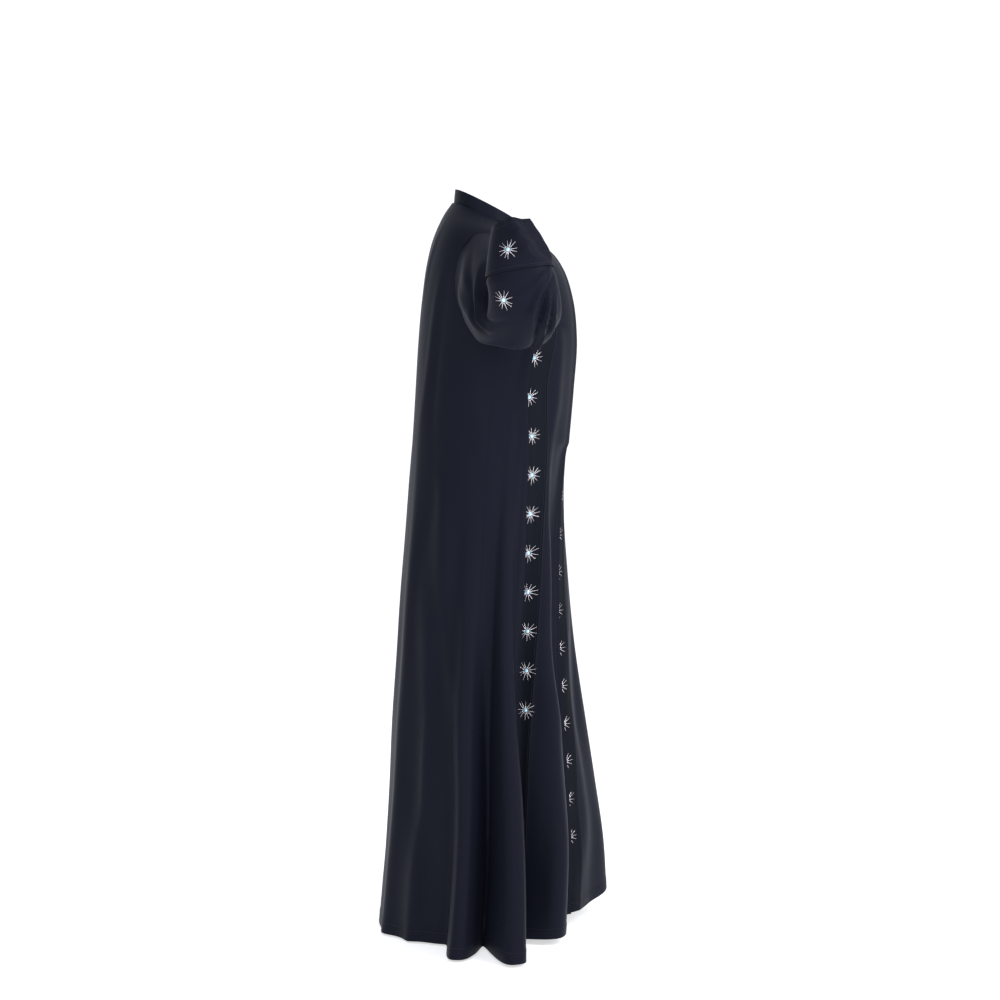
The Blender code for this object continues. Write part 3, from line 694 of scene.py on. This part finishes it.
def cuff_rings(side):
    """The cuff's rings. Its creases fade out where the sleeve meets it."""
    rings = smooth_rings(section_loops(CUFF_SECTIONS, side.sign), CUFF_RINGS)
    along = np.linspace(0, 1, CUFF_RINGS)[:, None]
    rise = crease_rises(along, CUFF_CREASES) * ease(along / CUFF_SEAM_FADE)
    return rings + tube_normals(rings) * rise[..., None]


def sleeve_rings(side):
    points = armhole_loop(side)
    middle = points.mean(axis=0)
    flare = middle + (points - middle) * FLARE_FACTOR + np.array((side.sign * FLARE_OUT, 0, 0))
    sections = section_loops(SLEEVE_SECTIONS, side.sign, start=middle)
    rings = smooth_rings([points, flare, *sections, cuff_rings(side)[0]], SLEEVE_RINGS)
    return rings + tube_normals(rings) * sleeve_rise()[..., None]


def link(name, mesh, material):
    thing = bpy.data.objects.new(name, mesh)
    mesh.materials.append(material)
    mesh.shade_smooth()
    bpy.context.scene.collection.objects.link(thing)
    return thing


def mesh_of(name, vertices, quads, triangles=()):
    mesh = bpy.data.meshes.new(name)
    faces = [tuple(q) for q in np.asarray(quads).tolist()]
    faces += [tuple(t) for t in np.asarray(triangles).tolist()]
    mesh.from_pydata(np.asarray(vertices).tolist(), [], faces)
    mesh.validate()
    return mesh


def make_shell(node, points, normals, material, closed=False):
    """A thin shell of cloth on a grid or a tube of points: the sheet that stands for its node."""
    rows, columns = points.shape[:2]
    both = np.stack([points + normals * CLOTH / 2, points - normals * CLOTH / 2]) - HOLD_POINT
    index = np.arange(2 * rows * columns).reshape(2, rows, columns)
    if closed:
        index = np.concatenate([index, index[:, :, :1]], axis=2)
    quads = []
    for face, order in ((0, 1), (1, -1)):
        a, b = index[face, :-1, :-1], index[face, :-1, 1:]
        c, d = index[face, 1:, 1:], index[face, 1:, :-1]
        quads.append(np.stack([a, b, c, d][::order], axis=-1).reshape(-1, 4))
    for row, order in ((0, 1), (-1, -1)):
        outer, inner = index[0, row], index[1, row]
        rim = np.stack([outer[1:], outer[:-1], inner[:-1], inner[1:]][::order], axis=-1)
        quads.append(rim.reshape(-1, 4))
    if not closed:
        for column, order in ((0, 1), (-1, -1)):
            outer, inner = index[0, :, column], index[1, :, column]
            rim = np.stack([outer[:-1], outer[1:], inner[1:], inner[:-1]][::order], axis=-1)
            quads.append(rim.reshape(-1, 4))
    mesh = mesh_of(node + "_cloth", both.reshape(-1, 3), np.concatenate(quads))
    cloth = link(node + "_cloth", mesh, material)
    mesh.set_sharp_from_angle(angle=math.radians(RIM_ANGLE))
    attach(cloth, "root")
    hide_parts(node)


def draw_in(points, line, neighbour):
    """Moves one row or column of points towards its neighbour by half a seam gap."""
    points[line] += unit(points[neighbour] - points[line]) * SEAM_GAP / 2


def make_panel(node, start, end, columns, material, finish=None):
    angles = panel_angles(start, end, columns)
    heights = np.repeat(HEIGHTS[:, None], angles.shape[1], axis=1)
    points, outward = robe_cloth(angles, heights, finish)
    draw_in(points, (slice(None), 0), (slice(None), 1))
    draw_in(points, (slice(None), -1), (slice(None), -2))
    draw_in(points, -1, -2)
    make_shell(node, points, grid_normals(points, outward), material)


def make_sleeve(side, material):
    points = sleeve_rings(side)
    draw_in(points, 0, 1)
    draw_in(points, -1, -2)
    make_shell(side.name + "_sleeve", points, tube_normals(points), material, closed=True)


def make_cuff(side, material):
    points = cuff_rings(side)
    draw_in(points, 0, 1)
    make_shell(side.name + "_cuff", points, tube_normals(points), material, closed=True)


def make_neckband(material):
    """A narrow standing band along the whole neckline, its near end lapped over its far end."""
    top = RINGS[-1].height
    angles = np.linspace(lap_edge(top), far_band_edge(top) + 360, NECKBAND_COLUMNS)
    lift = np.where(angles < near_band_front(top), lap_lift(angles, top), 0.0)
    foot = robe_point(angles, top, lift)
    away = unit(foot - robe_point(angles, top, lift - 1.0))
    rows = []
    for share in np.linspace(0, 1, NECKBAND_ROWS + 1):
        up = np.array((0.0, 0.0, NECKBAND_FOOT + (NECKBAND_TOP - NECKBAND_FOOT) * share))
        rows.append(foot + up - away * (NECKBAND_INSET + (NECKBAND_LEAN - NECKBAND_INSET) * share))
    points = np.array(rows)
    make_shell("neckband", points, grid_normals(points, away), material)


def set_inputs(node, values):
    for socket, value in values.items():
        node.inputs[socket].default_value = value


def make_material(name):
    material = bpy.data.materials.new(name)
    material.use_nodes = True
    set_inputs(material.node_tree.nodes["Principled BSDF"], LOOKS[name])
    return material


def make_crepe(name):
    """Matte crepe, with a fine pebbled grain."""
    material = make_material(name)
    nodes, links = material.node_tree.nodes, material.node_tree.links
    place = nodes.new("ShaderNodeTexCoord")
    grain = nodes.new("ShaderNodeTexNoise")
    set_inputs(grain, GRAIN)
    bump = nodes.new("ShaderNodeBump")
    set_inputs(bump, GRAIN_RELIEF)
    links.new(place.outputs["Object"], grain.inputs["Vector"])
    links.new(grain.outputs["Fac"], bump.inputs["Height"])
    links.new(bump.outputs["Normal"], nodes["Principled BSDF"].inputs["Normal"])
    return material


def bead_ray(turn, length):
    """One ray: a row of bugle beads that tapers to its tip, lying along the cloth."""
    steps, swell = np.array(RAY_STEPS), np.array(RAY_SWELL)
    along = RAY_START + steps * (length - RAY_START)
    radius = swell * (RAY_RADIUS + (RAY_TIP - RAY_RADIUS) * steps)
    sides = np.arange(RAY_SIDES) * 2 * math.pi / RAY_SIDES
    across = np.cos(sides)[None, :] * radius[:, None]
    up = np.sin(sides)[None, :] * radius[:, None] + RAY_RADIUS
    forward = np.repeat(along[:, None], RAY_SIDES, axis=1)
    u = forward * math.cos(turn) - across * math.sin(turn)
    v = forward * math.sin(turn) + across * math.cos(turn)
    points = np.stack([u, v, up], axis=-1).reshape(-1, 3)
    index = np.arange(len(steps) * RAY_SIDES).reshape(len(steps), RAY_SIDES)
    wrapped = np.concatenate([index, index[:, :1]], axis=1)
    quads = np.stack(
        [wrapped[:-1, :-1], wrapped[1:, :-1], wrapped[1:, 1:], wrapped[:-1, 1:]], axis=-1
    )
    ends = [index[0][[0, i + 1, i]] for i in range(1, RAY_SIDES - 1)]
    ends += [index[-1][[0, i, i + 1]] for i in range(1, RAY_SIDES - 1)]
    return points, quads.reshape(-1, 4), np.array(ends)


def dome(centre_u, centre_v, radius, height, sides, rings):
    """A low bead or cut crystal on the cloth."""
    points = [(centre_u, centre_v, height)]
    for ring in range(1, rings + 1):
        lean = ring * math.pi / 2 / rings
        for side in range(sides):
            turn = (side + 0.5 * (ring % 2)) * 2 * math.pi / sides
            reach = radius * math.sin(lean)
            u, v = centre_u + reach * math.cos(turn), centre_v + reach * math.sin(turn)
            points.append((u, v, height * math.cos(lean) + DOME_FOOT))
    triangles = [(0, 1 + i, 1 + (i + 1) % sides) for i in range(sides)]
    for ring in range(rings - 1):
        low, high = 1 + (ring + 1) * sides, 1 + ring * sides
        for i in range(sides):
            j = (i + 1) % sides
            triangles += [(high + i, low + i, low + j), (high + i, low + j, high + j)]
    return np.array(points), np.zeros((0, 4), int), np.array(triangles)


def join_parts(parts):
    """Many small forms as one list of points and faces."""
    points, quads, triangles = zip(*parts)
    starts = np.cumsum([0, *(len(part) for part in points[:-1])])
    quads = [faces + start for faces, start in zip(quads, starts)]
    triangles = [faces + start for faces, start in zip(triangles, starts)]
    return np.concatenate(points), np.concatenate(quads), np.concatenate(triangles)


def star_beads(turn, room):
    """The rays and rim beads of one star, flat: across, up and out of the cloth.

    The room is how far the rays may reach backwards, where a fold lies over them, or None.
    """
    parts = []
    for ray in range(RAYS):
        way = turn + ray * 2 * math.pi / RAYS + RAY_LEAN * math.sin(ray * 2.3 + turn * 5)
        length = RAY_END + RAY_UNEVEN * math.sin(ray * 1.7 + turn * 3)
        if room and math.cos(way) < 0:
            length = min(length, -room / math.cos(way))
        parts.append(bead_ray(way, length))
    for bead in range(RIM_BEADS):
        way = turn + (bead + 0.5) * 2 * math.pi / RIM_BEADS
        at_u, at_v = RIM_AT * math.cos(way), RIM_AT * math.sin(way)
        parts.append(dome(at_u, at_v, RIM_BEAD_RADIUS, 2 * RIM_BEAD_RADIUS, sides=6, rings=2))
    return join_parts(parts)


def on_robe(place, flat):
    """Lays flat points on the robe's cloth about a place."""
    angle, height = place.first, place.second
    here, _ = robe_cloth(np.array(angle), np.array(height))
    beside, _ = robe_cloth(np.array(angle - 1.0), np.array(height))
    degrees = 1.0 / np.linalg.norm(beside - here)
    points, normals = robe_cloth(angle - flat[:, 0] * degrees, height + flat[:, 1])
    return points + normals * (flat[:, 2:3] + CLOTH / 2)


def on_tube(rings, place, flat):
    """Lays flat points on a sleeve's or cuff's cloth about a place."""
    normals = tube_normals(rings)
    count = len(rings)
    row, column = place.first * (count - 1), place.second / 360 * AROUND_SLEEVE
    lower, upper = int(row), int(row) + 1
    left = int(round(column)) % AROUND_SLEEVE
    along_step = np.linalg.norm(rings[upper, left] - rings[lower, left])
    around_step = np.linalg.norm(rings[lower, (left + 1) % AROUND_SLEEVE] - rings[lower, left])
    rows = np.clip(row + flat[:, 1] / along_step, 0, count - 1.001)
    columns = (column + flat[:, 0] / around_step) % AROUND_SLEEVE

    def read(grid):
        r, c = rows.astype(int), columns.astype(int)
        fr, fc = (rows - r)[:, None], (columns - c)[:, None]
        d = (c + 1) % AROUND_SLEEVE
        c = c % AROUND_SLEEVE
        low = grid[r, c] * (1 - fc) + grid[r, d] * fc
        high = grid[r + 1, c] * (1 - fc) + grid[r + 1, d] * fc
        return low * (1 - fr) + high * fr

    return read(rings) + unit(read(normals)) * (flat[:, 2:3] + CLOTH / 2)


# Where a star lies: its angle and height on the robe, or its share and angle on a sleeve or cuff.
StarPlace = namedtuple("StarPlace", "first second turn room")


def star_places(low, high, pitch, front, back, share_name, covered):
    """Stars at even heights above the floor, along their line between two edges of a band."""
    places = []
    for level in np.arange(low, high, pitch):
        height = level
        for _ in range(LEVEL_ROUNDS):
            height = level - hem_rise(front(height), height)
        share = table_curve(level, STAR_LINES, "level", share_name)
        angle = front(height) + (back(height) - front(height)) * share
        room = BAND_WIDTH * (1 - share) if covered else None
        places.append(StarPlace(angle, height, STAR_TURN * math.sin(level * 40), room))
    return places


def band_star_places():
    """The places of the stars on the two bands. A fold lies over the near band's back seam."""
    near = star_places(
        NEAR_STARS_FROM, NEAR_STARS_TO, NEAR_STAR_PITCH,
        near_band_front, near_band_back, "in_near_band", covered=True,
    )
    far = star_places(
        FAR_STARS_FROM, FAR_STARS_TO, FAR_STAR_PITCH,
        far_band_edge, far_band_seam, "in_far_band", covered=False,
    )
    return near, far


def make_star_pieces(name, places, lay, materials):
    """One piece of beads and one of crystals, with a star laid on the cloth at every place."""
    crystal = dome(0.0, 0.0, CRYSTAL_RADIUS, CRYSTAL_HEIGHT, sides=10, rings=3)
    forms = {
        "beads": [star_beads(place.turn, place.room) for place in places],
        "crystals": [crystal] * len(places),
    }
    for kind in forms:
        laid = [(lay(place, form[0]), *form[1:]) for place, form in zip(places, forms[kind])]
        points, quads, triangles = join_parts(laid)
        mesh = mesh_of(f"{name}_{kind}", points - HOLD_POINT, quads, triangles)
        thing = link(f"{name}_{kind}", mesh, materials[kind])
        if kind == "crystals":
            mesh.shade_flat()
        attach(thing, "root")


def make_stars(materials):
    """The stars of the two bands, and of both sleeves and cuffs."""
    near, far = band_star_places()
    make_star_pieces("near_band", near, on_robe, materials)
    make_star_pieces("far_band", far, on_robe, materials)
    for side in (NEAR, FAR):
        for star in SLEEVE_STARS:
            rings = sleeve_rings(side) if star.piece == "sleeve" else cuff_rings(side)
            place = StarPlace(star.share, star.angle, math.radians(star.turn), None)
            lay = partial(on_tube, rings)
            make_star_pieces(f"{side.name}_{star.piece}", [place], lay, materials)


def even_stitches(points, normals):
    """A row of small stitches along a line of points on the cloth."""
    run = run_along(points)
    starts = np.arange(STITCH_PITCH, run[-1] - STITCH_PITCH, STITCH_PITCH)

    def read(values, distance):
        return np.stack([np.interp(distance, run, values[:, axis]) for axis in range(3)], axis=1)

    up = unit(read(normals, starts + STITCH_LENGTH / 2))
    first = read(points, starts) + up * CLOTH / 2
    last = read(points, starts + STITCH_LENGTH) + up * CLOTH / 2
    across = unit(np.cross(up, last - first))
    corners = [
        end + (across * side + up * level) * STITCH_RADIUS
        for end in (first, last)
        for side, level in ((-1, 0), (0, 1), (1, 0), (0, -1))
    ]
    vertices = np.stack(corners, axis=1).reshape(-1, 3)
    faces = np.array(
        ((0, 4, 5, 1), (1, 5, 6, 2), (2, 6, 7, 3), (3, 7, 4, 0), (0, 1, 2, 3), (7, 6, 5, 4))
    )
    quads = (faces[None] + 8 * np.arange(len(starts))[:, None, None]).reshape(-1, 4)
    return vertices, quads, np.zeros((0, 3), int)


def stitches_at_height(start, end, height, finish=None):
    angles = np.linspace(start(height), end(height), LINE_SAMPLES)
    return even_stitches(*robe_cloth(angles, np.full(LINE_SAMPLES, height), finish))


def stitches_down(line, inset, finish=None):
    """Stitches down the robe, beside a line of its angles."""
    heights = np.linspace(RINGS[0].height + STITCH_PITCH, RINGS[-1].height - STITCH_PITCH, LINE_SAMPLES)
    return even_stitches(*robe_cloth(angle_step(line(heights), heights, inset), heights, finish))


def stitches_round(rings, row):
    points, normals = rings[row], tube_normals(rings)[row]
    return even_stitches(np.concatenate([points, points[:1]]), np.concatenate([normals, normals[:1]]))


def make_stitches(material):
    """The rows of stitches along hems, band seams, the lap's edge and the cuffs."""
    hem = RINGS[0].height + HEM_DEPTH - SEAM_INSET
    rows = [
        stitches_at_height(near_back_side, far_back_side, hem),
        stitches_at_height(front_fold_start, near_front_side, hem, "front fold"),
        stitches_at_height(near_band_front, near_band_back, hem),
        stitches_at_height(lap_edge, near_band_front, hem, "lap"),
        stitches_at_height(far_front_side, far_band_seam, hem),
        stitches_at_height(far_band_seam, far_band_edge, hem),
        stitches_down(lap_edge, EDGE_DEPTH - SEAM_INSET, "lap"),
        stitches_down(near_band_front, -SEAM_INSET, "lap"),
        stitches_down(near_band_front, SEAM_INSET),
        stitches_down(far_band_seam, SEAM_INSET),
        stitches_down(far_band_seam, -SEAM_INSET),
        stitches_down(far_band_edge, -SEAM_INSET),
    ]
    for side in (NEAR, FAR):
        rows += [stitches_round(cuff_rings(side), row) for row in CUFF_STITCH_ROWS]
    points, quads, triangles = join_parts(rows)
    thing = link("stitches", mesh_of("stitches", points - HOLD_POINT, quads, triangles), material)
    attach(thing, "root")


def make_cloth(crepe, band):
    """Every cloth piece, each on the node of its own name."""
    make_panel("back", near_back_side, far_back_side, BACK_COLUMNS, crepe)
    make_panel(
        "near_front", front_fold_start, near_front_side, NEAR_FRONT_COLUMNS, crepe, "front fold"
    )
    # The bands' material, band, is the crepe darkened as painted shade.
    make_panel("near_band", near_band_front, near_band_back, BAND_COLUMNS, band)
    make_panel("near_lap", lap_edge, near_band_front, LAP_COLUMNS, crepe, "lap")
    make_panel("far_front", far_front_side, far_band_seam, FAR_FRONT_COLUMNS, crepe)
    make_panel("far_band", far_band_seam, far_band_edge, BAND_COLUMNS, band)
    make_neckband(crepe)
    for side in (NEAR, FAR):
        make_sleeve(side, crepe)
        make_cuff(side, crepe)


def make_camera():
    """The camera as the photograph was taken, level, with its horizon above the middle."""
    data = bpy.data.cameras.new("camera")
    data.sensor_width = SENSOR
    data.lens = FOCAL_PIXELS / PICTURE_PIXELS * SENSOR
    data.shift_y = -(PICTURE_PIXELS / 2 - HORIZON_PIXEL) / PICTURE_PIXELS
    data.dof.use_dof = False
    camera = bpy.data.objects.new("camera", data)
    bpy.context.scene.collection.objects.link(camera)
    camera.location = Vector((-CAMERA_AWAY, 0.0, CAMERA_HEIGHT)) - Vector(HOLD_POINT)
    camera.rotation_euler = (math.radians(90), 0, math.radians(-90))
    bpy.context.scene.camera = camera


def area_light(lamp):
    data = bpy.data.lights.new(lamp.name, "AREA")
    data.shape = "RECTANGLE"
    data.size, data.size_y = lamp.size
    data.energy = lamp.power
    data.color = lamp.colour
    thing = bpy.data.objects.new(lamp.name, data)
    bpy.context.scene.collection.objects.link(thing)
    thing.location = lamp.place
    way = Vector(lamp.look_at) - Vector(lamp.place)
    thing.rotation_euler = way.to_track_quat("-Z", "Y").to_euler()


def make_world():
    """White paper light all round, brightest behind the cloak and dimmer on the camera's side."""
    world = bpy.data.worlds.new("studio")
    world.use_nodes = True
    nodes, links = world.node_tree.nodes, world.node_tree.links
    background = nodes["Background"]
    background.inputs["Color"].default_value = WORLD_COLOUR
    way = nodes.new("ShaderNodeTexCoord")
    split = nodes.new("ShaderNodeSeparateXYZ")
    fade = nodes.new("ShaderNodeMapRange")
    set_inputs(fade, WORLD_FADE)
    links.new(way.outputs["Generated"], split.inputs["Vector"])
    links.new(split.outputs["X"], fade.inputs["Value"])
    links.new(fade.outputs["Result"], background.inputs["Strength"])
    bpy.context.scene.world = world


def make_studio():
    """A pale floor, white light behind, a soft key before the cloak and a fill by the camera."""
    floor_height = -HOLD_POINT[2]
    corners = ((-1, -1), (1, -1), (1, 1), (-1, 1))
    vertices = [(x * FLOOR_REACH, y * FLOOR_REACH, floor_height) for x, y in corners]
    mesh = mesh_of("floor", vertices, [(0, 1, 2, 3)])
    link("floor", mesh, make_material("floor_paper"))
    make_world()
    for lamp in LAMPS:
        area_light(lamp)
    bpy.context.scene.view_settings.view_transform = "Standard"


def build():
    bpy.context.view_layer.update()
    # The bands get the darker copy of the crepe, which is painted shade.
    make_cloth(make_crepe("crepe"), make_crepe("band"))
    make_stars({kind: make_material(kind) for kind in ("beads", "crystals")})
    make_stitches(make_material("thread"))
    make_studio()
    make_camera()
    bpy.context.view_layer.update()


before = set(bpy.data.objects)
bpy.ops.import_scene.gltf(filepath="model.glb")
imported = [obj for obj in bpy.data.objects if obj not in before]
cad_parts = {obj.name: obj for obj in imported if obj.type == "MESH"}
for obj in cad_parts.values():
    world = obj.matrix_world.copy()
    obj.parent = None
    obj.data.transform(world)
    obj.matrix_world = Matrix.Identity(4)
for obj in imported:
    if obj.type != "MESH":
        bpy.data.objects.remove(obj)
build()
